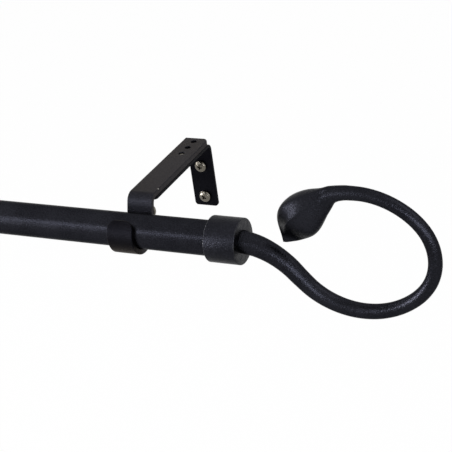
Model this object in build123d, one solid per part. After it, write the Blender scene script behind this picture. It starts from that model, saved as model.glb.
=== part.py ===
from build123d import *
import os
from math import cos, exp, log, pi, radians, sin, sqrt, tan

# Extendable curtain rod, as it hangs on a wall, in millimetres.
# X runs along the rod, Y points into the wall and Z is up.
# The origin is on the wall, midway between the screws of the right bracket.

# Clearances, each measured on one side
slide_clearance = 0.1      # between tubes that slide in each other
seat_clearance = 0.1       # between a seat and the piece that sits in it
thread_clearance = 0.05    # between a screw and its threaded hole

# Rod: an outer tube and a thinner one that slides out of it
rod_diameter = 19.0
rod_wall = 0.8
outer_tube_length = 630.0
mouth_length = 6.0         # straight part of the swaged mouth
mouth_taper = 4.0
inner_diameter = 16.0
inner_wall = 0.8
inner_tube_length = 660.0
pulled_out = 60.0          # bare inner tube between the mouth and the left bracket
glide_flange = 6.0
glide_spigot = 10.0
glide_bore = 10.0

# Brackets: an L-shaped base on the wall and a strap that ends in a cup
strap_width = 15.2
strap_thickness = 3.0
base_thickness = 2.0
rod_projection = 91.0      # wall to rod axis
rod_rise = 14.0            # rod axis above the middle of the wall screws
arm_rise = 14.0            # top of the strap above the rod axis
strap_end_gap = 1.5        # strap end to wall
strap_bend = 3.0           # inner bend radius
strap_slope = 19.0         # lean of the strap behind the rod, in degrees
cup_lip_angle = 53.0       # how far the cup rises in front, in degrees
cup_corner = 5.0
strap_corner = 4.0
strap_hole_inset = 4.9     # first hole to the strap end
strap_hole_pitch = 8.2
strap_hole_count = 3
base_front_gap = 0.3       # front end of the base's arm behind the bend of the strap
base_drop = 16.5           # lower end of the plate below the middle of its screws
base_bend = 2.0
base_corner = 2.0
slot_margin = 0.2

# Screws
wall_screw_spacing = 20.0
wall_screw_head = 7.2
wall_screw_head_height = 2.4
wall_screw_shoulder = 4.0  # plain part under the head, as long as the plate is thick
wall_screw_shank = 3.5
wall_screw_length = 16.0
wall_screw_point = 4.0     # length of the pointed end
arm_screw_head = 7.0
arm_screw_head_height = 2.4
arm_screw_shank = 3.5
arm_screw_recess = 0.7     # its tip below the top of the strap
rod_screw_head = 9.5
rod_screw_head_height = 3.5
rod_screw_shank = 5.0
rod_screw_length = 10.5
rod_screw_height = 1.0     # above the middle of the cup
finial_screw_head = 7.0
finial_screw_head_height = 2.6
finial_screw_shank = 4.0
finial_screw_grip = 9.0    # length that bites into the bar
grub_diameter = 4.0
grub_socket = 2.0          # across the corners of its hexagon
grub_socket_depth = 1.4
grub_inset = 0.3           # its head below the collar's surface
recess_depth_share = 0.6   # cross recess against the height of the head
recess_width_share = 0.17  # arm of the cross against the head's diameter
recess_span_share = 0.56

# Finials: a turned collar and a tapered bar bent to a loop with a swollen bud
bracket_overhang = 66.9    # middle of the bracket to the end of the collar
collar_diameter = 24.8
collar_length = 17.7
collar_end_wall = 4.0
collar_edge = 0.4
sleeve_slit = 2.0
root_diameter = 12.4
bar_diameter = 6.6
taper_length = 55.0        # distance in which the extra thickness falls to about a third
root_dip = 8.7             # downward lean of the bar where it leaves the collar, degrees
root_radius = 45.4
descent = 48.5             # steepest lean, degrees
descent_run = 6.2
lower_radius = 42.2
nose_start = 47.6          # heading where the tight nose begins, degrees
nose_radius = 29.5
nose_end = 134.6
upper_radius = 42.3
tip_heading = 254.4
bud_length = 42.0
bud_half_width = 14.0
bud_outer_rise = 8.8
bud_under_drop = 13.9
bud_crease_rise = 1.4      # side creases towards the outer side
bud_crease_lean = 0.45     # sharpness of the creases, 0 for a round section
bud_widest_at = 0.42       # share of the bud's length, as in the next three
bud_crease_peak_at = 0.35
bud_outer_peak_at = 0.56
bud_under_peak_at = 0.53
bud_width_fullness = 2     # above 1 the bud is narrow towards neck and tip
bud_outer_fullness = 1.5   # the same for its outer side
bud_under_fullness = 0.6   # below 1 the underside stays full there
bud_neck_fade = 6          # power with which the round bar fades into the bud
bud_outer_delay = 1.5      # above 1 the bar's outer side fades later
neck_rise = 1.2            # growth of the bar's outer side before the bud begins
neck_length = 10.0         # distance in which that growth falls to about a third
bud_end = 0.985            # share of the bud's length at its blunt tip
bar_sections = 22
bud_sections = 11

# Places that follow from the sizes
rod_radius = rod_diameter / 2
inner_radius = inner_diameter / 2
cup_radius = rod_radius + seat_clearance
tube_depth = collar_length - collar_end_wall - seat_clearance
outer_end_x = bracket_overhang - collar_length + tube_depth
mouth_x = outer_end_x - outer_tube_length
left_bracket_x = mouth_x - pulled_out - strap_width / 2
left_face_x = left_bracket_x - bracket_overhang
inner_end_x = left_face_x + collar_length - tube_depth
left_lift = cup_radius - seat_clearance - inner_radius
arm_slide = strap_hole_pitch * (strap_hole_count - 1)
strap_rear_y = rod_projection - strap_end_gap
strap_z = arm_rise - strap_thickness / 2
strap_middle = cup_radius + strap_thickness / 2
strap_lean = radians(strap_slope)
bend_y = strap_middle / cos(strap_lean) + strap_z * tan(strap_lean)
bend_radius = strap_bend + strap_thickness / 2
base_front_y = bend_y + bend_radius * tan((pi / 2 - strap_lean) / 2) + base_front_gap
first_hole_y = strap_rear_y - strap_hole_inset
screw_hole_y = first_hole_y - arm_slide
arm_underside = arm_rise - strap_thickness - base_thickness
wall_screw_heights = [-rod_rise + wall_screw_spacing / 2, -rod_rise - wall_screw_spacing / 2]
grub_x = tube_depth / 2 - collar_length


def along_x(start_x, length, radius):
    return Pos(start_x + length / 2, 0, 0) * Rot(0, 90, 0) * Cylinder(radius, length)


def pan_screw(head, head_height, shank, length):
    # the shank runs down from the origin and the head stands above it
    rim = head_height * 0.4
    sides = Polyline((0, head_height), (0, 0), (head / 2, 0), (head / 2, rim))
    crown = ThreePointArc((head / 2, rim), (head * 0.27, head_height * 0.86), (0, head_height))
    screw = revolve(Plane.XZ * make_face(sides + crown), Axis.Z)
    screw += Pos(0, 0, -length / 2) * Cylinder(shank / 2, length)
    depth = head_height * recess_depth_share
    slot = Box(head * recess_span_share, head * recess_width_share, 2 * depth)
    return screw - Pos(0, 0, head_height) * (slot + Rot(0, 0, 90) * slot)


# Tubes, about the rod's axis
def outer_tube():
    mouth_bore = inner_radius + slide_clearance
    neck_x = mouth_x + mouth_length
    full_x = neck_x + mouth_taper
    bore = rod_radius - rod_wall
    profile = Polyline(
        (mouth_x, mouth_bore), (neck_x, mouth_bore), (full_x, bore), (outer_end_x, bore),
        (outer_end_x, rod_radius), (full_x, rod_radius), (neck_x, mouth_bore + rod_wall),
        (mouth_x, mouth_bore + rod_wall), close=True)
    return revolve(Plane.XZ * make_face(profile), Axis.X)


def inner_tube():
    tube = along_x(inner_end_x, inner_tube_length, inner_radius)
    return tube - along_x(inner_end_x, inner_tube_length, inner_radius - inner_wall)


def inner_tube_glide():
    end_x = inner_end_x + inner_tube_length
    glide = along_x(end_x, glide_flange, rod_radius - rod_wall - slide_clearance)
    glide += along_x(end_x - glide_spigot, glide_spigot, inner_radius - inner_wall - seat_clearance)
    return glide - along_x(end_x - glide_spigot, glide_spigot + glide_flange, glide_bore / 2)


# Bracket pieces, about the middle of the cup
def bracket_strap():
    touch = (strap_middle * cos(strap_lean), -strap_middle * sin(strap_lean))
    path = FilletPolyline((strap_rear_y, strap_z), (bend_y, strap_z), touch, radius=bend_radius)
    path += CenterArc((0, 0), strap_middle, -strap_slope, strap_slope - 180 - cup_lip_angle)
    start = Plane((0, strap_rear_y, strap_z), x_dir=(1, 0, 0), z_dir=(0, -1, 0))
    strap = sweep(start * Rectangle(strap_width, strap_thickness), path=Plane.YZ * path)
    lip = radians(180 - cup_lip_angle)
    side = strap_width / 2
    lip_corners = [(x, strap_middle * cos(lip), strap_middle * sin(lip)) for x in (-side, side)]
    strap = fillet([strap.edges().sort_by_distance(corner)[0] for corner in lip_corners], cup_corner)
    strap = fillet(strap.edges().sort_by_distance((side, strap_rear_y, strap_z))[0], strap_corner)
    for number in range(strap_hole_count):
        hole = Cylinder(arm_screw_shank / 2 + thread_clearance, 2 * strap_thickness)
        strap -= Pos(0, first_hole_y - number * strap_hole_pitch, strap_z) * hole
    reach = rod_radius + rod_screw_length
    thread = Rot(90, 0, 0) * Cylinder(rod_screw_shank / 2 + thread_clearance, reach)
    return strap - Pos(0, reach / 2, rod_screw_height) * thread


def bracket_base():
    arm_z = arm_underside + base_thickness / 2
    plate_y = rod_projection - base_thickness / 2
    foot_z = -rod_rise - base_drop
    outline = [(base_front_y, arm_z), (plate_y, arm_z), (plate_y, foot_z)]
    path = FilletPolyline(*outline, radius=base_bend + base_thickness / 2)
    start = Plane((0, base_front_y, arm_z), x_dir=(1, 0, 0), z_dir=(0, 1, 0))
    base = sweep(start * Rectangle(strap_width, base_thickness), path=Plane.YZ * path)
    side = strap_width / 2
    corners = [(x, y, z) for x in (-side, side) for y, z in (outline[0], outline[-1])]
    base = fillet([base.edges().sort_by_distance(corner)[0] for corner in corners], base_corner)
    for z in wall_screw_heights:
        hole = Cylinder(wall_screw_shoulder / 2 + seat_clearance, 2 * base_thickness)
        base -= Pos(0, plate_y, z) * Rot(90, 0, 0) * hole
    slot = Rot(0, 0, 90) * SlotCenterToCenter(arm_slide, arm_screw_shank + 2 * slot_margin)
    return base - Pos(0, screw_hole_y - arm_slide / 2, arm_underside) * extrude(slot, base_thickness)


def wall_screws():
    straight = wall_screw_length - wall_screw_point
    screw = pan_screw(wall_screw_head, wall_screw_head_height, wall_screw_shank, straight)
    screw += Pos(0, 0, -base_thickness / 2) * Cylinder(wall_screw_shoulder / 2, base_thickness)
    point = Cone(wall_screw_shank / 10, wall_screw_shank / 2, wall_screw_point)
    screw += Pos(0, 0, -straight - wall_screw_point / 2) * point
    seat_y = rod_projection - base_thickness
    return Compound([Pos(0, seat_y, z) * Rot(90, 0, 0) * screw for z in wall_screw_heights])


def arm_screw():
    length = base_thickness + strap_thickness - arm_screw_recess
    screw = pan_screw(arm_screw_head, arm_screw_head_height, arm_screw_shank, length)
    return Pos(0, screw_hole_y, arm_underside) * Rot(180, 0, 0) * screw


def rod_set_screw(tube_radius, tube_drop):
    # the flat tip stops just short of the highest place of the tube in front of it
    beyond = max(0, rod_screw_height + tube_drop - rod_screw_shank / 2)
    tip_y = sqrt(tube_radius ** 2 - beyond ** 2) + seat_clearance
    screw = pan_screw(rod_screw_head, rod_screw_head_height, rod_screw_shank, rod_screw_length)
    return Pos(0, tip_y + rod_screw_length, rod_screw_height) * Rot(-90, 0, 0) * screw


# Finial pieces, about the middle of the collar's end face, pointing along X
def collar():
    body = along_x(-collar_length, collar_length, collar_diameter / 2)
    body = chamfer(body.edges().filter_by(GeomType.CIRCLE), collar_edge)
    body -= along_x(-collar_length, collar_length - collar_end_wall, cup_radius)
    body -= along_x(-collar_end_wall, collar_end_wall, finial_screw_shank / 2 + seat_clearance)
    thread = Rot(90, 0, 0) * Cylinder(grub_diameter / 2 + thread_clearance, collar_diameter / 2)
    return body - Pos(grub_x, collar_diameter / 4, 0) * thread


def collar_set_screw():
    tip = cup_radius
    head = collar_diameter / 2 - grub_inset
    grub = Pos(0, 0, (tip + head) / 2) * Cylinder(grub_diameter / 2, head - tip)
    socket = extrude(RegularPolygon(grub_socket / 2, 6), grub_socket_depth)
    return Pos(grub_x, 0, 0) * Rot(-90, 0, 0) * (grub - Pos(0, 0, head - grub_socket_depth) * socket)


def collar_sleeve():
    outer = cup_radius - thread_clearance
    ring = along_x(-collar_length, tube_depth, outer)
    ring -= along_x(-collar_length, tube_depth, inner_radius + seat_clearance)
    return ring - Pos(tube_depth / 2 - collar_length, -outer, 0) * Box(tube_depth, 2 * outer, sleeve_slit)


def finial_screw():
    length = collar_end_wall + finial_screw_grip
    screw = pan_screw(finial_screw_head, finial_screw_head_height, finial_screw_shank, length)
    return Pos(-collar_end_wall, 0, 0) * Rot(0, -90, 0) * screw


# The bar's centre line lies in the XZ plane: each piece as length and turn per millimetre
bar_line = [
    (root_radius * radians(descent - root_dip), -1 / root_radius),
    (descent_run, 0),
    (lower_radius * radians(descent + nose_start), 1 / lower_radius),
    (nose_radius * radians(nose_end - nose_start), 1 / nose_radius),
    (upper_radius * radians(tip_heading - nose_end), 1 / upper_radius)]
bar_length = sum(length for length, turn in bar_line)
bud_start = bar_length - bud_length


def point_on_bar(distance):
    x, z, heading = 0, 0, -radians(root_dip)
    for length, turn in bar_line:
        step = min(distance, length)
        after = heading + turn * step
        if turn:
            x += (sin(after) - sin(heading)) / turn
            z += (cos(heading) - cos(after)) / turn
        else:
            x += step * cos(heading)
            z += step * sin(heading)
        heading = after
        distance -= step
    return x, z, heading


def swell(share, peak_at):
    # a half wave over the bud, with its crest at peak_at
    return sin(pi * share ** (log(0.5) / log(peak_at)))


def quarter(width, crease, height, lean):
    # from a side crease to the middle, a quarter of a circle where lean is 0
    handle = 4 / 3 * tan(pi / 8)
    leaning = (width * (1 - lean), crease + handle * (height - crease))
    return [(width, crease), leaning, (handle * width, height), (0, height)]


def bar_section(distance):
    x, z, heading = point_on_bar(distance)
    if distance == 0:
        heading = 0
    extra = (root_diameter - bar_diameter) * exp(-distance / taper_length)
    share = max(0, (distance - bud_start) / bud_length)
    radius = (bar_diameter + extra) / 2
    neck = radius + neck_rise * exp(min(0, distance - bud_start) / neck_length)
    fade = (1 - share) ** bud_neck_fade
    outer_fade = (1 - share ** bud_outer_delay) ** bud_neck_fade
    half_width = neck * fade + bud_half_width * swell(share, bud_widest_at) ** bud_width_fullness
    outer = neck * outer_fade + bud_outer_rise * swell(share, bud_outer_peak_at) ** bud_outer_fullness
    under = radius * fade + bud_under_drop * swell(share, bud_under_peak_at) ** bud_under_fullness
    crease = -bud_crease_rise * swell(share, bud_crease_peak_at) ** 2
    lean = bud_crease_lean * swell(share, bud_widest_at)
    quarters = [
        quarter(-half_width, crease, under, lean), quarter(half_width, crease, under, lean)[::-1],
        quarter(half_width, crease, -outer, lean), quarter(-half_width, crease, -outer, lean)[::-1]]
    across = Plane((x, 0, z), x_dir=(0, 1, 0), z_dir=(cos(heading), 0, sin(heading)))
    return across * make_face([Bezier(*points) for points in quarters])


def finial_bar():
    stations = [bud_start * k / bar_sections for k in range(bar_sections)]
    stations += [bud_start + bud_length * bud_end * k / bud_sections for k in range(bud_sections + 1)]
    bar = loft([bar_section(distance) for distance in stations])
    return bar - along_x(0, finial_screw_grip, finial_screw_shank / 2 + thread_clearance)


at_rod = Pos(0, -rod_projection, rod_rise)
at_left_cup = Pos(left_bracket_x, 0, left_lift)

pieces = {
    "outer_tube": outer_tube(),
    "inner_tube": inner_tube(),
    "inner_tube_glide": inner_tube_glide(),
    "right_rod_set_screw": rod_set_screw(rod_radius, 0),
    "left_rod_set_screw": at_left_cup * rod_set_screw(inner_radius, left_lift),
    "left_collar_sleeve": Pos(left_face_x, 0, 0) * mirror(collar_sleeve(), about=Plane.YZ)}

bracket_pieces = {
    "bracket_strap": bracket_strap(),
    "bracket_base": bracket_base(),
    "wall_screws": wall_screws(),
    "arm_screw": arm_screw()}

finial_pieces = {
    "collar": collar(),
    "collar_set_screw": collar_set_screw(),
    "finial_screw": finial_screw(),
    "finial_bar": finial_bar()}

for name, shape in bracket_pieces.items():
    pieces["right_" + name] = shape
    pieces["left_" + name] = at_left_cup * shape

for name, shape in finial_pieces.items():
    pieces["right_" + name] = Pos(bracket_overhang, 0, 0) * shape
    pieces["left_" + name] = Pos(left_face_x, 0, 0) * mirror(shape, about=Plane.YZ)

os.makedirs("parts", exist_ok=True)
for name, shape in pieces.items():
    export_step(at_rod * shape, f"parts/{name}.step")
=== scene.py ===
import bpy
import bmesh
from math import ceil, cos, exp, log, pi, radians, sin, sqrt, tan
from mathutils import Matrix, Vector


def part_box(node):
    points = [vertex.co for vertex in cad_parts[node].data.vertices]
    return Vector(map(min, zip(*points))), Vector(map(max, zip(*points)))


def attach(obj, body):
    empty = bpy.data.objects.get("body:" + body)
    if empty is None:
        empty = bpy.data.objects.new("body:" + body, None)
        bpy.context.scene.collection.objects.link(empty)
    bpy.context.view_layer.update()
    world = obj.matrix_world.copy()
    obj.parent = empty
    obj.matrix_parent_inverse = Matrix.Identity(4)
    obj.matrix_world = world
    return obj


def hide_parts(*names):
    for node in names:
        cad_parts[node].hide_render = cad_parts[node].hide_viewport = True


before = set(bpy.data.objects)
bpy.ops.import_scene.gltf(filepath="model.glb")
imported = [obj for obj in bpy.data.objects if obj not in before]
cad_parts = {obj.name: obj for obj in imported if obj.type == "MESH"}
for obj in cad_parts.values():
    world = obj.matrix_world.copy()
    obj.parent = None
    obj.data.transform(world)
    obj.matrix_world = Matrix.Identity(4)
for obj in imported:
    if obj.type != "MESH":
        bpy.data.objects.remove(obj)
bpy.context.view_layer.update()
mm = 0.001
print("frame loaded,", len(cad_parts), "nodes")

# sizes of the pieces are in millimetres, and the rod's axis runs along X here
rod = {"y": -91.0, "z": 14.0}
weldGap = 0.002


# modelling helpers

def letGo():
    if bpy.context.object and bpy.context.object.mode != "OBJECT":
        bpy.ops.object.mode_set(mode="OBJECT")
    bpy.ops.object.select_all(action="DESELECT")


def pick(piece):
    letGo()
    piece.select_set(True)
    bpy.context.view_layer.objects.active = piece


def editAll(piece):
    pick(piece)
    bpy.ops.object.mode_set(mode="EDIT")
    bpy.ops.mesh.select_all(action="SELECT")


def selectWhere(piece, test):
    mesh = bmesh.from_edit_mesh(piece.data)
    for vert in mesh.verts:
        vert.select = test(vert.co)
    mesh.select_flush(True)


def tidyMesh(piece):
    editAll(piece)
    bpy.ops.mesh.remove_doubles(threshold=weldGap * mm)
    bpy.ops.mesh.normals_make_consistent(inside=False)
    bpy.ops.object.mode_set(mode="OBJECT")


def smooth(piece, angle):
    pick(piece)
    bpy.ops.object.shade_smooth_by_angle(angle=radians(angle))


def settle(piece, place, turn=(0, 0, 0)):  # its place goes into the mesh
    pick(piece)
    piece.location = Vector(place) * mm
    piece.rotation_euler = [radians(angle) for angle in turn]
    bpy.ops.object.transform_apply(location=True, rotation=True, scale=True)
    return piece


def copyPiece(piece, name):
    twin = piece.copy()
    twin.data = piece.data.copy()
    twin.name = name
    bpy.context.collection.objects.link(twin)
    return twin


def joinPieces(piece, other):
    pick(piece)
    other.select_set(True)
    bpy.ops.object.join()


def spinProfile(name, profile, steps):
    # a chain of points (radius, height) is drawn by extrusion and spun about Z
    letGo()
    bpy.ops.mesh.primitive_plane_add(size=mm)
    piece = bpy.context.object
    piece.name = name
    editAll(piece)
    bpy.ops.mesh.merge(type="CENTER")
    bpy.ops.transform.translate(value=(profile[0][0] * mm, 0, profile[0][1] * mm))
    for here, there in zip(profile, profile[1:]):
        step = ((there[0] - here[0]) * mm, 0, (there[1] - here[1]) * mm)
        bpy.ops.mesh.extrude_region_move(TRANSFORM_OT_translate={"value": step})
    bpy.ops.mesh.select_all(action="SELECT")
    bpy.ops.mesh.spin(steps=steps, angle=2 * pi, center=(0, 0, 0), axis=(0, 0, 1))
    tidyMesh(piece)
    return piece


def growRings(name, rings, tip=None):
    # one ring is extruded again and again, and each new ring is set to its own outline
    letGo()
    bpy.ops.mesh.primitive_circle_add(vertices=len(rings[0]), radius=mm)
    piece = bpy.context.object
    piece.name = name
    editAll(piece)
    mesh = bmesh.from_edit_mesh(piece.data)
    seat = mesh.verts.layers.int.new("seat")
    for number, vert in enumerate(mesh.verts):
        vert[seat] = number
        vert.co = Vector(rings[0][number]) * mm
    bpy.ops.mesh.edge_face_add()
    bpy.ops.mesh.select_mode(type="EDGE")
    for ring in rings[1:]:
        bpy.ops.mesh.extrude_edges_move()
        mesh = bmesh.from_edit_mesh(piece.data)
        seat = mesh.verts.layers.int["seat"]
        for vert in mesh.verts:
            if vert.select:
                vert.co = Vector(ring[vert[seat]]) * mm
    if tip is None:
        bpy.ops.mesh.edge_face_add()
    else:
        bpy.ops.mesh.extrude_edges_move()
        bpy.ops.mesh.merge(type="CENTER")
        mesh = bmesh.from_edit_mesh(piece.data)
        for vert in mesh.verts:
            if vert.select:
                vert.co = Vector(tip) * mm
    bpy.ops.mesh.select_mode(type="VERT")
    tidyMesh(piece)
    return piece


def cut(piece, cutter):
    pick(piece)
    bpy.ops.object.modifier_add(type="BOOLEAN")
    tool = piece.modifiers[-1]
    tool.object = cutter
    tool.operation = "DIFFERENCE"
    tool.solver = "EXACT"
    bpy.ops.object.modifier_apply(modifier=tool.name)
    bpy.data.objects.remove(cutter)


def drill(radius, thickness, edge=0.2, steps=40, past=0.5):
    # a drill that also breaks the rims of its hole, about Z
    reach = thickness / 2 + past
    wide = radius + edge + past
    inner = thickness / 2 - edge
    return spinProfile("drill", [
        (0, -reach), (wide, -reach), (radius, -inner),
        (radius, inner), (wide, reach), (0, reach)], steps)


def flatNormals(piece):  # broad faces keep their own normal beside small rounded edges
    pick(piece)
    bpy.ops.object.modifier_add(type="WEIGHTED_NORMAL")
    tool = piece.modifiers[-1]
    tool.keep_sharp = True
    tool.weight = 100
    bpy.ops.object.modifier_apply(modifier=tool.name)


def soften(points, radius, steps=4, most=0.45):
    # each inner corner of a drawn line becomes a short curve, within this share of its sides
    line = [points[0]]
    for before, corner, after in zip(points, points[1:], points[2:]):
        before, corner, after = Vector(before), Vector(corner), Vector(after)
        near = min(radius, (before - corner).length * most, (after - corner).length * most)
        start = corner + (before - corner).normalized() * near
        end = corner + (after - corner).normalized() * near
        for k in range(steps + 1):
            t = k / steps
            line.append(tuple(start * (1 - t) ** 2 + corner * 2 * t * (1 - t) + end * t ** 2))
    return line + [points[-1]]


def walk(line, start, heading, distance):
    # follows straight runs and arcs, each as length and turn per millimetre
    a, b = start
    for length, bend in line:
        step = min(distance, length)
        after = heading + bend * step
        if bend:
            a += (sin(after) - sin(heading)) / bend
            b += (cos(heading) - cos(after)) / bend
        else:
            a += step * cos(heading)
            b += step * sin(heading)
        heading = after
        distance -= step
    return a, b, heading


def finishPiece(piece, body, node, material):
    piece.data.materials.clear()
    piece.data.materials.append(material)
    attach(piece, body)
    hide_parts(node)


def finishPair(piece, bodies, node, material):
    # the left bracket has the same pieces as the right one, moved
    shift = (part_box("left_" + node)[0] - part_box("right_" + node)[0]) / mm
    twin = settle(copyPiece(piece, piece.name.replace("right", "left")), shift)
    finishPiece(piece, bodies[0], "right_" + node, material)
    finishPiece(twin, bodies[1], "left_" + node, material)


def dressNode(node, material):  # a piece that keeps its CAD mesh
    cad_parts[node].data.materials.clear()
    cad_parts[node].data.materials.append(material)


# shader sums: a wire is a socket that can be added and multiplied in Python

class Wire:
    def __init__(self, tree, socket):
        self.tree = tree
        self.socket = socket

    def make(self, kind, settings, inputs, output=0):
        node = self.tree.nodes.new(kind)
        for key, value in settings.items():
            setattr(node, key, value)
        for key, value in inputs.items():
            if isinstance(value, Wire):
                self.tree.links.new(value.socket, node.inputs[key])
            else:
                node.inputs[key].default_value = value
        return Wire(self.tree, node.outputs[output])

    def sum(self, operation, first, second):
        return self.make("ShaderNodeMath", {"operation": operation}, {0: first, 1: second})

    def __add__(self, other):
        return self.sum("ADD", self, other)

    def __radd__(self, other):
        return self.sum("ADD", other, self)

    def __sub__(self, other):
        return self.sum("SUBTRACT", self, other)

    def __rsub__(self, other):
        return self.sum("SUBTRACT", other, self)

    def __mul__(self, other):
        return self.sum("MULTIPLY", self, other)

    def size(self):
        return self.sum("ABSOLUTE", self, 0)

    def step(self, low, high):  # 0 below low, 1 above high, eased between
        settings = {"interpolation_type": "SMOOTHSTEP", "clamp": True}
        return self.make("ShaderNodeMapRange", settings, {
            "Value": self, "From Min": low, "From Max": high, "To Min": 0, "To Max": 1})

    def mix(self, first, second):  # colours, by this wire as the factor
        return self.make("ShaderNodeMix", {"data_type": "RGBA"}, {0: self, 6: first, 7: second}, 2)

    def noise(self, scale, detail=2.0, roughness=0.5):
        return self.make("ShaderNodeTexNoise", {}, {
            "Vector": self, "Scale": scale, "Detail": detail, "Roughness": roughness})

    def bump(self, strength, distance):
        return self.make("ShaderNodeBump", {}, {
            "Height": self, "Strength": strength, "Distance": distance})

    def part(self, axis):
        return self.make("ShaderNodeSeparateXYZ", {}, {0: self}, "XYZ".index(axis))


def startMaterial(name):
    material = bpy.data.materials.new(name)
    material.use_nodes = True
    tree = material.node_tree
    shader = tree.nodes["Principled BSDF"]
    place = tree.nodes.new("ShaderNodeTexCoord")
    return material, shader, Wire(tree, place.outputs["Object"])


def feed(shader, **sockets):
    for key, value in sockets.items():
        socket = shader.inputs[key.replace("_", " ")]
        if isinstance(value, Wire):
            value.tree.links.new(value.socket, socket)
        else:
            socket.default_value = value


def grey(level):
    return (level, level, level, 1)


def nearPlanes(axis, spots, reach):
    # 1 close to any of these places along an axis
    def mask(place):
        along = place.part(axis)
        total = 0
        for spot in spots:
            total = 1 - (along - spot * mm).size().step(reach * 0.5 * mm, reach * mm) + total
        return total
    return mask


def beforePlane(axis, low, high):
    # 1 below low along an axis, 0 above high
    def mask(place):
        return 1 - place.part(axis).step(low * mm, high * mm)
    return mask


# the second pair is painted shade, a darker copy of the cool coat for places taken to lie in shade
coatColours = {
    "cool": ((0.0094, 0.0096, 0.0124, 1), (0.0210, 0.0215, 0.0272, 1)),
    "paintedShade": ((0.0028, 0.0028, 0.0039, 1), (0.0064, 0.0064, 0.0085, 1)),
    "worn": (0.045, 0.045, 0.047, 1), "bare": (0.30, 0.29, 0.27, 1)}
coatGrain = {
    "patchScale": 45, "patchDetail": 3, "patchShare": 0.45, "patchRough": 0.08,
    "pebbleScale": 1700, "pebbleDetail": 1, "pebbleShare": 0.55, "pebbleRough": 0.16,
    "pebbleHeight": 0.19, "darkBelow": 0.3, "lightAbove": 0.7}
coatWear = {
    "broadScale": 320, "broadDetail": 3, "broadShare": 0.7,
    "fineScale": 3600, "fineDetail": 2, "fineGrain": 0.6, "fineShare": 0.3,
    "keptBelow": 0.38, "wornAbove": 0.62, "strength": 0.8, "polish": 0.08}
coatChip = {"scale": 900, "detail": 2, "ragged": 1.1, "core": 0.75, "polish": 0.12}


def powderCoat(name, stipple, sheen, rim, tint="cool", edges=None, chip=None, shadeMask=None):
    # a very dark metal stands for the satin coat, since its rim tint can hold back the
    # reflections at flat angles; edges and chip are places that differ, and the last
    # argument paints shade, darker coat colours over a place taken to lie in shade
    g, w, c = coatGrain, coatWear, coatChip
    material, shader, place = startMaterial(name)
    patches = place.noise(g["patchScale"], g["patchDetail"])
    pebbles = place.noise(g["pebbleScale"], g["pebbleDetail"])
    blend = patches * g["patchShare"] + pebbles * g["pebbleShare"]
    blend = blend.step(g["darkBelow"], g["lightAbove"])
    colour = blend.mix(*coatColours[tint])
    rough = sheen + (pebbles - 0.5) * g["pebbleRough"] + (patches - 0.5) * g["patchRough"]
    # painted shade: darker coat colours over this place
    if shadeMask is not None:
        colour = shadeMask(place).mix(colour, blend.mix(*coatColours["paintedShade"]))
    if edges is not None:
        broad = place.noise(w["broadScale"], w["broadDetail"])
        fine = place.noise(w["fineScale"], w["fineDetail"], w["fineGrain"])
        thin = broad * w["broadShare"] + fine * w["fineShare"]
        worn = edges(place) * thin.step(w["keptBelow"], w["wornAbove"])
        colour = (worn * w["strength"]).mix(colour, coatColours["worn"])
        rough = rough - worn * w["polish"]
    if chip is not None:
        middle, reach = chip
        way = place.make("ShaderNodeVectorMath", {"operation": "DISTANCE"}, {
            0: place, 1: [length * mm for length in middle]}, 1)
        ragged = way + (place.noise(c["scale"], c["detail"]) - 0.5) * (c["ragged"] * mm)
        spot = 1 - ragged.step(reach * c["core"] * mm, reach * mm)
        colour = spot.mix(colour, coatColours["bare"])
        rough = rough - spot * c["polish"]
    feed(shader, Base_Color=colour, Metallic=1.0, Roughness=rough, Specular_Tint=rim,
         Normal=pebbles.bump(stipple, g["pebbleHeight"] * mm))
    return material


nickel = {
    "tint": (0.15, 0.138, 0.114, 1), "dulled": 0.72, "hazeScale": 420, "hazeDetail": 3,
    "speckScale": 2600, "speckDetail": 2, "clearBelow": 0.62, "speckAbove": 0.74,
    "hazeShare": 0.7, "speckShare": 0.3, "roughness": 0.17, "hazeRough": 0.16, "speckRough": 0.15,
    "hazeLift": 0.8, "speckLift": 0.2, "bump": 0.12, "height": 0.05}


def nickelPlate(name):
    # plating with haze and a few dull specks
    n = nickel
    material, shader, place = startMaterial(name)
    haze = place.noise(n["hazeScale"], n["hazeDetail"])
    specks = place.noise(n["speckScale"], n["speckDetail"]).step(n["clearBelow"], n["speckAbove"])
    dark = [part * n["dulled"] for part in n["tint"][:3]] + [1]
    colour = (haze * n["hazeShare"] + specks * n["speckShare"]).mix(n["tint"], dark)
    lift = haze * n["hazeLift"] + specks * n["speckLift"]
    feed(shader, Base_Color=colour, Metallic=1.0,
         Roughness=n["roughness"] + haze * n["hazeRough"] + specks * n["speckRough"],
         Normal=lift.bump(n["bump"], n["height"] * mm))
    return material


oxide = {
    "dark": (0.035, 0.034, 0.036, 1), "light": (0.11, 0.105, 0.1, 1), "scale": 700, "detail": 3,
    "darkBelow": 0.35, "lightAbove": 0.75, "metal": 0.85, "roughness": 0.34, "filmRough": 0.2,
    "bump": 0.1, "height": 0.05}


def blackOxide(name):
    o = oxide
    material, shader, place = startMaterial(name)
    film = place.noise(o["scale"], o["detail"])
    colour = film.step(o["darkBelow"], o["lightAbove"]).mix(o["dark"], o["light"])
    feed(shader, Base_Color=colour, Metallic=o["metal"],
         Roughness=o["roughness"] + film * o["filmRough"],
         Normal=film.bump(o["bump"], o["height"] * mm))
    return material


nylon = {
    "dark": (0.035, 0.035, 0.037, 1), "light": (0.06, 0.059, 0.058, 1), "scale": 60, "detail": 2,
    "grainScale": 1900, "grainDetail": 3, "roughness": 0.5, "grainRough": 0.14, "specular": 0.35,
    "bump": 0.15, "height": 0.06}


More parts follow.
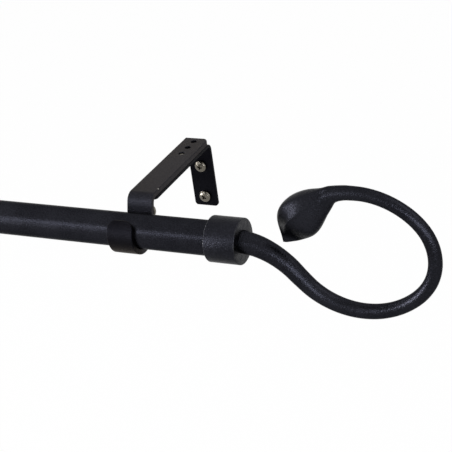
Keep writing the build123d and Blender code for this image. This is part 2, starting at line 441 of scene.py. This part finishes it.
def mouldedNylon(name):
    n = nylon
    material, shader, place = startMaterial(name)
    grain = place.noise(n["grainScale"], n["grainDetail"])
    colour = place.noise(n["scale"], n["detail"]).mix(n["dark"], n["light"])
    feed(shader, Base_Color=colour, Roughness=n["roughness"] + grain * n["grainRough"],
         Specular_IOR_Level=n["specular"], Normal=grain.bump(n["bump"], n["height"] * mm))
    return material


# tubes

tubeSizes = {
    "mouthX": -567.2, "neckX": -561.2, "fullX": -557.2, "endX": 62.8, "outer": 9.5, "bore": 8.7,
    "mouthOuter": 8.9, "mouthBore": 8.1, "edge": 0.9,
    "innerStartX": -697.6, "innerEndX": -37.6, "innerOuter": 8.0, "innerBore": 7.2,
    "innerEdge": 0.2, "wear": 0.5, "steps": 96, "smoothAngle": 32}


def alongRod(piece):
    return settle(piece, (0, rod["y"], rod["z"]), (0, 90, 0))


def makeTubes():
    s = tubeSizes
    corners = [
        (s["bore"], s["endX"]), (s["outer"], s["endX"]), (s["outer"], s["fullX"]),
        (s["mouthOuter"], s["neckX"]), (s["mouthOuter"], s["mouthX"]),
        (s["mouthBore"], s["mouthX"]), (s["mouthBore"], s["neckX"]), (s["bore"], s["fullX"]),
        (s["bore"], s["endX"])]
    outer = alongRod(spinProfile("outerTube", soften(corners, s["edge"]), s["steps"]))
    smooth(outer, s["smoothAngle"])
    corners = [
        (s["innerBore"], s["innerEndX"]), (s["innerOuter"], s["innerEndX"]),
        (s["innerOuter"], s["innerStartX"]), (s["innerBore"], s["innerStartX"]),
        (s["innerBore"], s["innerEndX"])]
    inner = alongRod(spinProfile("innerTube", soften(corners, s["innerEdge"]), s["steps"]))
    smooth(inner, s["smoothAngle"])
    rodCoat = powderCoat("rodCoat", stipple=0.55, sheen=0.29, rim=grey(0.5),
                         edges=nearPlanes("X", [s["mouthX"]], s["wear"]))
    finishPiece(outer, "right_arm", "outer_tube", rodCoat)
    finishPiece(inner, "extension", "inner_tube", rodCoat)
    print("tubes made")


makeTubes()

# collars and their grub screws

collarSizes = {
    "faceX": 66.9, "startX": 49.2, "radius": 12.4, "bore": 9.6, "boreEndX": 62.9,
    "screwHole": 2.1, "edge": 0.55, "rimInset": 0.2, "wear": 0.34, "steps": 96, "smoothAngle": 32}
grubSizes = {
    "x": 56.0, "radius": 2.0, "top": 12.1, "tip": 9.6, "tipShare": 0.6, "edge": 0.25, "steps": 40,
    "hole": 2.05, "holeLength": 6, "holeEdge": 0.25, "socket": 1.0, "socketDepth": 1.4}
mirrorX = -317.4  # the left finial is the right one seen in a mirror here


def mirrorPiece(piece, name):
    twin = copyPiece(piece, name)
    pick(twin)
    twin.scale = (-1, 1, 1)
    twin.location = (2 * mirrorX * mm, 0, 0)
    bpy.ops.object.transform_apply(location=True, rotation=True, scale=True)
    tidyMesh(twin)
    return twin


def finishFinial(piece, node, material, angle):
    smooth(piece, angle)
    finishPiece(piece, "right_finial", "right_" + node, material)
    twin = mirrorPiece(piece, piece.name.replace("right", "left"))
    smooth(twin, angle)
    finishPiece(twin, "left_finial", "left_" + node, material)


def makeCollars():
    s, g = collarSizes, grubSizes
    corners = [
        (s["screwHole"], s["boreEndX"]), (s["bore"], s["boreEndX"]), (s["bore"], s["startX"]),
        (s["radius"], s["startX"]), (s["radius"], s["faceX"]), (s["screwHole"], s["faceX"]),
        (s["screwHole"], s["boreEndX"])]
    collar = alongRod(spinProfile("rightCollar", soften(corners, s["edge"]), s["steps"]))
    hole = drill(g["hole"], g["holeLength"], g["holeEdge"])
    holeY = rod["y"] + s["radius"] - g["holeLength"] / 2
    cut(collar, settle(hole, (g["x"], holeY, rod["z"]), (90, 0, 0)))
    rimSpots = [s["startX"] + s["rimInset"], s["faceX"] - s["rimInset"]]
    farSpots = [2 * mirrorX - spot for spot in rimSpots]
    collarCoat = powderCoat("collarCoat", stipple=1.0, sheen=0.33, rim=grey(0.68),
                            edges=nearPlanes("X", rimSpots + farSpots, s["wear"]))
    corners = [
        (0, g["top"]), (g["radius"], g["top"]), (g["radius"], g["tip"]),
        (g["radius"] * g["tipShare"], g["tip"]), (0, g["tip"])]
    grub = spinProfile("rightGrub", soften(corners, g["edge"]), g["steps"])
    letGo()
    bpy.ops.mesh.primitive_cylinder_add(
        vertices=6, radius=g["socket"] * mm, depth=2 * g["socketDepth"] * mm,
        location=(0, 0, g["top"] * mm))
    cut(grub, bpy.context.object)
    settle(grub, (g["x"], rod["y"], rod["z"]), (-90, 0, 0))
    finishFinial(collar, "collar", collarCoat, s["smoothAngle"])
    finishFinial(grub, "collar_set_screw", blackOxide("blackOxide"), s["smoothAngle"])
    print("collars made")


makeCollars()

# the tapered loops with their creased buds

loopSizes = {
    "rootX": 66.9, "rootDiameter": 12.4, "barDiameter": 6.6, "taper": 55.0, "rootDip": 8.7,
    "rootRadius": 45.4, "descent": 48.5, "descentRun": 6.2, "lowerRadius": 42.2,
    "noseStart": 47.6, "noseRadius": 29.5, "noseEnd": 134.6, "upperRadius": 42.3,
    "tipHeading": 254.4, "barStations": 22, "between": 5, "quarterSteps": 12, "smoothAngle": 34}
budSizes = {
    "length": 42.0, "halfWidth": 14.0, "outerRise": 8.8, "underDrop": 13.9, "creaseRise": 1.4,
    "creaseLean": 0.45, "tipLean": 0.35, "widestAt": 0.42, "creasePeakAt": 0.35,
    "outerPeakAt": 0.56, "underPeakAt": 0.53, "widthFullness": 2, "outerFullness": 1.5,
    "underFullness": 0.6, "neckFade": 6, "outerDelay": 1.5, "neckRise": 1.2, "neckLength": 10.0,
    "filletDrop": 2.0, "filletLength": 2.2, "neckSteps": (5.5, 3.6, 2.2, 1.0), "stations": 11,
    "end": 0.985, "tipShares": (0.989, 0.9925, 0.9955, 0.998, 0.9993)}


def swell(share, peakAt):
    return sin(pi * share ** (log(0.5) / log(peakAt)))


def quarterLine(width, crease, height, lean, steps):
    # from a side crease to the middle of the outline
    handle = 4 / 3 * tan(pi / 8)
    knots = [(width, crease), (width * (1 - lean), crease + handle * (height - crease)),
             (handle * width, height), (0, height)]
    line = []
    for k in range(steps + 1):
        t = k / steps
        weights = ((1 - t) ** 3, 3 * t * (1 - t) ** 2, 3 * t ** 2 * (1 - t), t ** 3)
        line.append(tuple(
            sum(weight * knot[axis] for weight, knot in zip(weights, knots)) for axis in (0, 1)))
    return line


def easeRings(stations, rings, between):
    # rings between the drawn ones, on curves that pass through them
    slopes = []
    for k in range(len(rings)):
        low, high = max(k - 1, 0), min(k + 1, len(rings) - 1)
        span = stations[high] - stations[low]
        slopes.append([(Vector(b) - Vector(a)) / span for a, b in zip(rings[low], rings[high])])
    eased = []
    for k in range(len(rings) - 1):
        span = stations[k + 1] - stations[k]
        for t in (step / between for step in range(between)):
            weights = (2 * t ** 3 - 3 * t ** 2 + 1, (t ** 3 - 2 * t ** 2 + t) * span,
                       3 * t ** 2 - 2 * t ** 3, (t ** 3 - t ** 2) * span)
            eased.append([
                Vector(a) * weights[0] + rise * weights[1] + Vector(b) * weights[2]
                + fall * weights[3]
                for a, rise, b, fall in zip(rings[k], slopes[k], rings[k + 1], slopes[k + 1])])
    return eased + [rings[-1]]


def makeLoops():
    s, b = loopSizes, budSizes
    line = [
        (s["rootRadius"] * radians(s["descent"] - s["rootDip"]), -1 / s["rootRadius"]),
        (s["descentRun"], 0),
        (s["lowerRadius"] * radians(s["descent"] + s["noseStart"]), 1 / s["lowerRadius"]),
        (s["noseRadius"] * radians(s["noseEnd"] - s["noseStart"]), 1 / s["noseRadius"]),
        (s["upperRadius"] * radians(s["tipHeading"] - s["noseEnd"]), 1 / s["upperRadius"])]
    budStart = sum(length for length, bend in line) - b["length"]

    def ringAt(distance):
        x, z, heading = walk(line, (0, 0), -radians(s["rootDip"]), distance)
        if distance == 0:
            heading = 0
        extra = (s["rootDiameter"] - s["barDiameter"]) * exp(-distance / s["taper"])
        share = max(0, (distance - budStart) / b["length"])
        radius = (s["barDiameter"] + extra) / 2
        neck = radius + b["neckRise"] * exp(min(0, distance - budStart) / b["neckLength"])
        fade = (1 - share) ** b["neckFade"]
        outerFade = (1 - share ** b["outerDelay"]) ** b["neckFade"]
        widthSwell = swell(share, b["widestAt"])
        outerSwell = swell(share, b["outerPeakAt"])
        underSwell = swell(share, b["underPeakAt"])
        width = neck * fade + b["halfWidth"] * widthSwell ** b["widthFullness"]
        outer = neck * outerFade + b["outerRise"] * outerSwell ** b["outerFullness"]
        under = radius * fade + b["underDrop"] * underSwell ** b["underFullness"]
        under += b["filletDrop"] * exp(-abs(distance - budStart) / b["filletLength"])
        crease = -b["creaseRise"] * swell(share, b["creasePeakAt"]) ** 2
        lean = b["creaseLean"] * max(widthSwell, share)
        outerLean = lean + b["tipLean"] * share ** 4
        quarters = [quarterLine(side, crease, height, tilt, s["quarterSteps"])
                    for side, height, tilt in (
                        (-width, under, lean), (width, under, lean),
                        (width, -outer, outerLean), (-width, -outer, outerLean))]
        outline = quarters[0] + quarters[1][-2:0:-1] + quarters[2] + quarters[3][-2:0:-1]
        return [
            (s["rootX"] + x - v * sin(heading), rod["y"] + u, rod["z"] + z + v * cos(heading))
            for u, v in outline]

    stations = [budStart * k / s["barStations"] for k in range(s["barStations"])]
    stations += [budStart - step for step in b["neckSteps"]]
    stations += [budStart + b["length"] * b["end"] * k / b["stations"]
                 for k in range(b["stations"] + 1)]
    stations += [budStart + b["length"] * share for share in b["tipShares"]]
    rings = easeRings(stations, [ringAt(distance) for distance in stations], s["between"])
    x, z, heading = walk(line, (0, 0), -radians(s["rootDip"]), budStart + b["length"])
    loop = growRings("rightLoop", rings, (s["rootX"] + x, rod["y"], rod["z"] + z))
    loopCoat = powderCoat("loopCoat", stipple=0.9, sheen=0.29, rim=grey(0.5))
    finishFinial(loop, "finial_bar", loopCoat, s["smoothAngle"])
    print("loops made")


makeLoops()

# brackets: flat bars that are bent, rounded at their ends and drilled

strapSizes = {
    "halfWidth": 7.6, "thickness": 3.0, "rearY": 89.5, "midZ": 12.5, "cupMiddle": 11.1,
    "slope": 19.0, "bend": 4.5, "lipAngle": 53.0, "lipCorner": 5.0, "rearCorner": 4.0,
    "edge": 0.4, "holes": [-6.4, -14.6, -22.8], "hole": 1.8, "rodScrewZ": 15.0,
    "rodScrewHole": 2.55, "rodScrewReach": 14, "chipAt": (7.4, -67.5, 27.9), "chip": 0.5,
    # painted shade on the cup's lip: darker below the first Y, fading out by the second
    "shadeBelowY": -97.0, "shadeEndsAboveY": -93.5}
baseSizes = {
    "halfWidth": 7.6, "thickness": 2.0, "frontY": 19.55, "armZ": 10.0, "plateY": 90.0,
    "footZ": -30.5, "bend": 3.0, "corner": 2.0, "edge": 0.3, "wallHoles": [10.0, -10.0],
    "wallHole": 2.1, "slotFrom": -39.2, "slotTo": -22.8, "slot": 1.95, "slotEdge": 0.15}
barSteps = {
    "bendAngle": 6, "straight": 9, "corner": 10, "edge": 4, "leastStep": 0.004,
    "leastRound": 0.02, "smoothAngle": 30}


def roundedEnd(distance, radius):  # how far a rounded corner draws the side in
    if distance >= radius:
        return 0
    return radius - sqrt(radius ** 2 - (radius - distance) ** 2)


def barStations(line, edge, startCorners, endCorners):
    # close together in bends and at the rounded ends
    n = barSteps
    total = sum(length for length, bend in line)
    stations = {0, total}
    done = 0
    for length, bend in line:
        if bend:
            count = ceil(length * abs(bend) / radians(n["bendAngle"]))
        else:
            count = ceil(length / n["straight"])
        stations |= {done + length * k / count for k in range(count + 1)}
        done += length
    shares = [1 - cos(pi / 2 * k / n["corner"]) for k in range(n["corner"] + 1)]
    for reach in {edge, *startCorners}:
        stations |= {reach * share for share in shares}
    for reach in {edge, *endCorners}:
        stations |= {total - reach * share for share in shares}
    ordered = []
    for distance in sorted(stations):
        if 0 <= distance <= total and (not ordered or distance - ordered[-1] > n["leastStep"]):
            ordered.append(distance)
    return ordered, total


def bendBar(name, line, start, heading, size, startCorners, endCorners):
    # corners are radii on the +X and -X side
    n = barSteps
    edge = size["edge"]
    stations, total = barStations(line, edge, startCorners, endCorners)
    rings = []
    for distance in stations:
        y, z, turned = walk(line, start, heading, distance)
        back = total - distance
        inset = max(roundedEnd(distance, edge), roundedEnd(back, edge))
        corner = max(edge - inset, n["leastRound"])
        plus, minus = (
            size["halfWidth"] - inset - max(roundedEnd(distance, first), roundedEnd(back, last))
            for first, last in zip(startCorners, endCorners))
        thick = size["thickness"] / 2 - inset
        ring = []
        for across, up, first in (
                (plus, thick, 0), (-minus, thick, 90), (-minus, -thick, 180), (plus, -thick, 270)):
            for k in range(n["edge"] + 1):
                angle = radians(first + 90 / n["edge"] * k)
                x = across - (corner if across > 0 else -corner) + corner * cos(angle)
                v = up - (corner if up > 0 else -corner) + corner * sin(angle)
                ring.append((x, rod["y"] + y - v * sin(turned), rod["z"] + z + v * cos(turned)))
        rings.append(ring)
    return growRings(name, rings)


def makeStrap():
    s = strapSizes
    lean = radians(s["slope"])
    bendTurn = pi / 2 - lean
    bendY = s["cupMiddle"] / cos(lean) + s["midZ"] * tan(lean)
    touch = (s["cupMiddle"] * cos(lean), -s["cupMiddle"] * sin(lean))
    tangent = s["bend"] * tan(bendTurn / 2)
    sloping = sqrt((bendY - touch[0]) ** 2 + (s["midZ"] - touch[1]) ** 2)
    line = [
        (s["rearY"] - bendY - tangent, 0), (s["bend"] * bendTurn, 1 / s["bend"]),
        (sloping - tangent, 0),
        (s["cupMiddle"] * radians(180 + s["lipAngle"] - s["slope"]), -1 / s["cupMiddle"])]
    strap = bendBar("rightStrap", line, (s["rearY"], s["midZ"]), pi, s,
                    (s["rearCorner"], s["edge"]), (s["lipCorner"], s["lipCorner"]))
    for y in s["holes"]:
        cut(strap, settle(drill(s["hole"], s["thickness"]), (0, y, rod["z"] + s["midZ"])))
    reach = s["rodScrewReach"]
    screwHole = drill(s["rodScrewHole"], reach, 0)
    cut(strap, settle(screwHole, (0, rod["y"] + reach, s["rodScrewZ"]), (90, 0, 0)))
    return strap


def makeBase():
    s = baseSizes
    line = [
        (s["plateY"] - s["bend"] - s["frontY"], 0), (s["bend"] * pi / 2, -1 / s["bend"]),
        (s["armZ"] - s["bend"] - s["footZ"], 0)]
    base = bendBar("rightBase", line, (s["frontY"], s["armZ"]), 0, s,
                   (s["corner"], s["corner"]), (s["corner"], s["corner"]))
    for z in s["wallHoles"]:
        hole = drill(s["wallHole"], s["thickness"])
        cut(base, settle(hole, (0, rod["y"] + s["plateY"], z), (90, 0, 0)))
    slotCutter = drill(s["slot"], s["thickness"], s["slotEdge"])
    editAll(slotCutter)
    bpy.ops.mesh.bisect(plane_co=(0, 0, 0), plane_no=(0, 1, 0))
    selectWhere(slotCutter, lambda spot: spot.y > 1e-7)
    bpy.ops.transform.translate(value=(0, (s["slotTo"] - s["slotFrom"]) * mm, 0))
    bpy.ops.object.mode_set(mode="OBJECT")
    cut(base, settle(slotCutter, (0, s["slotFrom"], rod["z"] + s["armZ"])))
    return base


def makeBrackets():
    s = strapSizes
    strap, base = makeStrap(), makeBase()
    # the strap's coat has painted shade on the cup's lip, which faces the front and down
    strapCoat = powderCoat("strapCoat", stipple=0.8, sheen=0.46, rim=(0.79, 0.755, 0.72, 1),
                           chip=(s["chipAt"], s["chip"]),
                           shadeMask=beforePlane("Y", s["shadeBelowY"], s["shadeEndsAboveY"]))
    # painted shade: the base takes the darker copy of the coat colours all over
    baseCoat = powderCoat("baseCoat", stipple=0.6, sheen=0.36, rim=grey(0.6), tint="paintedShade")
    for piece, node, finish, bodies in (
            (strap, "bracket_strap", strapCoat, ("right_arm", "extension")),
            (base, "bracket_base", baseCoat, ("right_base", "left_base"))):
        smooth(piece, barSteps["smoothAngle"])
        flatNormals(piece)
        finishPair(piece, bodies, node, finish)
    print("brackets made")


makeBrackets()

# screws: domed heads with a cross recess, and threads

wallScrewSizes = {
    "head": 3.6, "height": 2.4, "shoulder": 2.0, "shoulderLength": 2.0, "shank": 1.75,
    "length": 16.0, "point": 4.0, "pitch": 1.4, "depth": 0.42,
    "place": (0, -2, 10), "turn": (90, 12, 0), "lowerPlace": (0, -2, -10), "lowerTurn": (90, 35, 0)}
armScrewSizes = {
    "head": 3.5, "height": 2.4, "shoulder": 1.6, "shoulderLength": 0.3, "shank": 1.72,
    "length": 4.3, "point": 0.0, "pitch": 0.7, "depth": 0.2,
    "place": (0, -22.8, 23.0), "turn": (180, 0, 20)}
rodScrewSizes = {
    "head": 4.75, "height": 3.5, "shoulder": 2.3, "shoulderLength": 0.5, "shank": 2.48,
    "length": 10.5, "point": 0.0, "pitch": 0.8, "depth": 0.26,
    "place": (0, -70.93, 15.0), "turn": (-90, 25, 0)}
headForm = {
    "rimShare": 0.4, "domeSteps": 14, "edge": 0.25, "steps": 56, "recessLength": 0.56,
    "recessWidth": 0.17, "recessDepth": 0.6, "recessTaper": (0.55, 0.7, 1), "smoothAngle": 32}
threadForm = {
    "around": 28, "ringsPerTurn": 10, "valley": 2.6, "leastRoot": 0.12, "leastTip": 0.15,
    "shoulderGap": 0.02, "runOut": 0.8, "blunting": 0.14, "bluntLength": 0.4}


def cutRecess(screw, s):
    h = headForm
    for turn in (0, 90):
        letGo()
        bpy.ops.mesh.primitive_cube_add(size=2 * mm)
        bit = bpy.context.object
        editAll(bit)
        span = (s["head"] * h["recessLength"], s["head"] * h["recessWidth"],
                s["height"] * h["recessDepth"])
        bpy.ops.transform.resize(value=span, center_override=(0, 0, 0))
        selectWhere(bit, lambda spot: spot.z < 0)
        bpy.ops.transform.resize(value=h["recessTaper"], center_override=(0, 0, -span[2] * mm))
        bpy.ops.object.mode_set(mode="OBJECT")
        cut(screw, settle(bit, (0, 0, s["height"]), (0, 0, turn)))


def makeShank(name, s):
    f = threadForm
    around = f["around"]
    threadTop = -s["shoulderLength"]
    count = ceil((s["length"] + threadTop) / s["pitch"] * f["ringsPerTurn"])

    def shankRing(z, radius, cutting):
        ring = []
        for k in range(around):
            share = (z / s["pitch"] - k / around) % 1
            valley = min(1, abs(share - 0.5) * f["valley"])
            r = max(radius - s["depth"] * valley * cutting, f["leastRoot"])
            ring.append((r * cos(2 * pi * k / around), r * sin(2 * pi * k / around), z))
        return ring

    rings = [shankRing(z, s["shoulder"], 0) for z in (0, threadTop + f["shoulderGap"])]
    for k in range(count + 1):
        z = threadTop - (s["length"] + threadTop) * k / count
        fromTip = s["length"] + z
        taper = min(1, fromTip / s["point"]) if s["point"] else 1
        blunt = 1 - f["blunting"] * max(0, 1 - fromTip / f["bluntLength"])
        radius = max(s["shank"] * taper, f["leastTip"]) * blunt
        rings.append(shankRing(z, radius, min(1, -(z - threadTop) / f["runOut"]) * taper))
    return growRings(name, rings)


def makeScrew(name, s):
    # the head stands on the XY plane and the shank hangs below it
    h = headForm
    rim = s["height"] * h["rimShare"]
    dome = []
    for k in range(h["domeSteps"] + 1):
        angle = pi / 2 * k / h["domeSteps"]
        dome.append((s["head"] * cos(angle), rim + (s["height"] - rim) * sin(angle)))
    foot = soften([(0, 0), (s["head"], 0), dome[0]], h["edge"])
    screw = spinProfile(name, foot + dome[1:-1] + [(0, s["height"])], h["steps"])
    cutRecess(screw, s)
    joinPieces(screw, makeShank(name + "Shank", s))
    return screw


def makeScrews():
    plating = nickelPlate("screwNickel")
    s = wallScrewSizes
    wall = makeScrew("rightWallScrews", s)
    lower = settle(copyPiece(wall, "lowerWallScrew"), s["lowerPlace"], s["lowerTurn"])
    settle(wall, s["place"], s["turn"])
    joinPieces(wall, lower)
    s = armScrewSizes
    arm = settle(makeScrew("rightArmScrew", s), s["place"], s["turn"])
    s = rodScrewSizes
    clamp = settle(makeScrew("rightRodScrew", s), s["place"], s["turn"])
    for piece, node, bodies in (
            (wall, "wall_screws", ("right_base", "left_base")),
            (arm, "arm_screw", ("right_arm", "extension")),
            (clamp, "rod_set_screw", ("right_arm", "extension"))):
        smooth(piece, headForm["smoothAngle"])
        finishPair(piece, bodies, node, plating)
    for side in ("right", "left"):
        dressNode(side + "_finial_screw", plating)
    print("screws made")


makeScrews()

moulded = mouldedNylon("mouldedNylon")
for node in ("inner_tube_glide", "left_collar_sleeve"):
    dressNode(node, moulded)
print("nylon pieces dressed")

# floor, light and camera, in metres and degrees

stageSizes = {
    "floorZ": -0.55, "floorSize": 60.0, "floorColour": grey(0.9), "white": grey(1),
    "glow": 0.985, "ambient": 0.15}
softBoxes = {
    "frontBox": {"azimuth": 34.0, "elevation": 9.5, "distance": 2.2, "width": 0.8,
                 "height": 0.6, "watts": 26, "colour": (0.90, 0.93, 1.0)},
    "rightBox": {"azimuth": 63.0, "elevation": 12.0, "distance": 2.2, "width": 0.6,
                 "height": 0.6, "watts": 12.5, "colour": (0.90, 0.93, 1.0)},
    "fillBox": {"azimuth": -27.0, "elevation": 23.0, "distance": 2.2, "width": 0.3,
                "height": 0.3, "watts": 7, "colour": (0.92, 0.94, 1.0)},
    "lowStrip": {"azimuth": -55.0, "elevation": 1.0, "distance": 2.0, "width": 0.6,
                 "height": 0.34, "watts": 36, "colour": (0.97, 0.97, 1.0)},
    "leftStrip": {"azimuth": -92.0, "elevation": 25.0, "distance": 2.0, "width": 0.24,
                  "height": 0.95, "watts": 16, "colour": (0.98, 0.98, 1.0)},
    "topBox": {"azimuth": 108.0, "elevation": 50.0, "distance": 2.2, "width": 1.4,
               "height": 1.4, "watts": 10, "colour": (1.0, 1.0, 1.0)}}
lightAim = (0.05, -0.08, 0.01)
photoView = {
    "azimuth": 27.918, "elevation": 27.331, "roll": 8.159, "lens": 98.3, "sensor": 36,
    "clipEnd": 200, "place": (0.32355, -0.59199, 0.31529)}


def wayTo(azimuth, elevation):
    return Vector((sin(azimuth) * cos(elevation), -cos(azimuth) * cos(elevation), sin(elevation)))


def backdropRays(tree):  # 1 for what the camera or a mirror sees directly
    rays = tree.nodes.new("ShaderNodeLightPath")
    camera, glossy, through = (
        Wire(tree, rays.outputs[name])
        for name in ("Is Camera Ray", "Is Glossy Ray", "Is Transmission Ray"))
    return camera.sum("MAXIMUM", camera.sum("MAXIMUM", camera, glossy), through)


def makeStage():
    s = stageSizes
    letGo()
    bpy.ops.mesh.primitive_plane_add(size=s["floorSize"], location=(0, 0, s["floorZ"]))
    floor = bpy.context.object
    floor.name = "floor"
    pick(floor)
    bpy.ops.object.transform_apply(location=True, rotation=True, scale=True)
    material = bpy.data.materials.new("paleFloor")
    material.use_nodes = True
    tree = material.node_tree
    tree.nodes.remove(tree.nodes["Principled BSDF"])
    rays = backdropRays(tree)
    matte = rays.make("ShaderNodeBsdfDiffuse", {}, {"Color": s["floorColour"]})
    glow = rays.make("ShaderNodeEmission", {}, {"Color": s["white"], "Strength": 1.0})
    surface = rays.make("ShaderNodeMixShader", {}, {0: rays * s["glow"], 1: matte, 2: glow})
    tree.links.new(surface.socket, tree.nodes["Material Output"].inputs["Surface"])
    floor.data.materials.append(material)
    world = bpy.data.worlds.new("paleRoom")
    bpy.context.scene.world = world
    world.use_nodes = True
    tree = world.node_tree
    rays = backdropRays(tree)
    level = s["ambient"] + rays * (1 - s["ambient"])
    tree.links.new(level.socket, tree.nodes["Background"].inputs["Strength"])
    tree.nodes["Background"].inputs["Color"].default_value = s["white"]
    print("floor and room made")


def makeLights():
    for name, s in softBoxes.items():
        letGo()
        way = wayTo(radians(s["azimuth"]), radians(s["elevation"]))
        bpy.ops.object.light_add(type="AREA", location=Vector(lightAim) + way * s["distance"])
        lamp = bpy.context.object
        lamp.name = name
        lamp.data.energy = s["watts"]
        lamp.data.color = s["colour"]
        lamp.data.shape = "RECTANGLE"
        lamp.data.size = s["width"]
        lamp.data.size_y = s["height"]
        lamp.rotation_euler = way.to_track_quat("Z", "Y").to_euler()
    print("lights made")


def makeCamera():
    s = photoView
    azimuth, elevation, roll = (radians(s[key]) for key in ("azimuth", "elevation", "roll"))
    back = wayTo(azimuth, elevation)
    right = Vector((cos(azimuth), sin(azimuth), 0))
    up = back.cross(right)
    turnedRight = right * cos(roll) - up * sin(roll)
    turnedUp = right * sin(roll) + up * cos(roll)
    letGo()
    bpy.ops.object.camera_add(location=s["place"])
    camera = bpy.context.object
    camera.rotation_euler = Matrix((turnedRight, turnedUp, back)).transposed().to_euler()
    camera.data.lens = s["lens"]
    camera.data.sensor_width = s["sensor"]
    camera.data.clip_end = s["clipEnd"]
    bpy.context.scene.camera = camera
    print("camera made")


makeStage()
makeLights()
makeCamera()
bpy.context.scene.view_settings.view_transform = "Standard"

print("pieces ready")
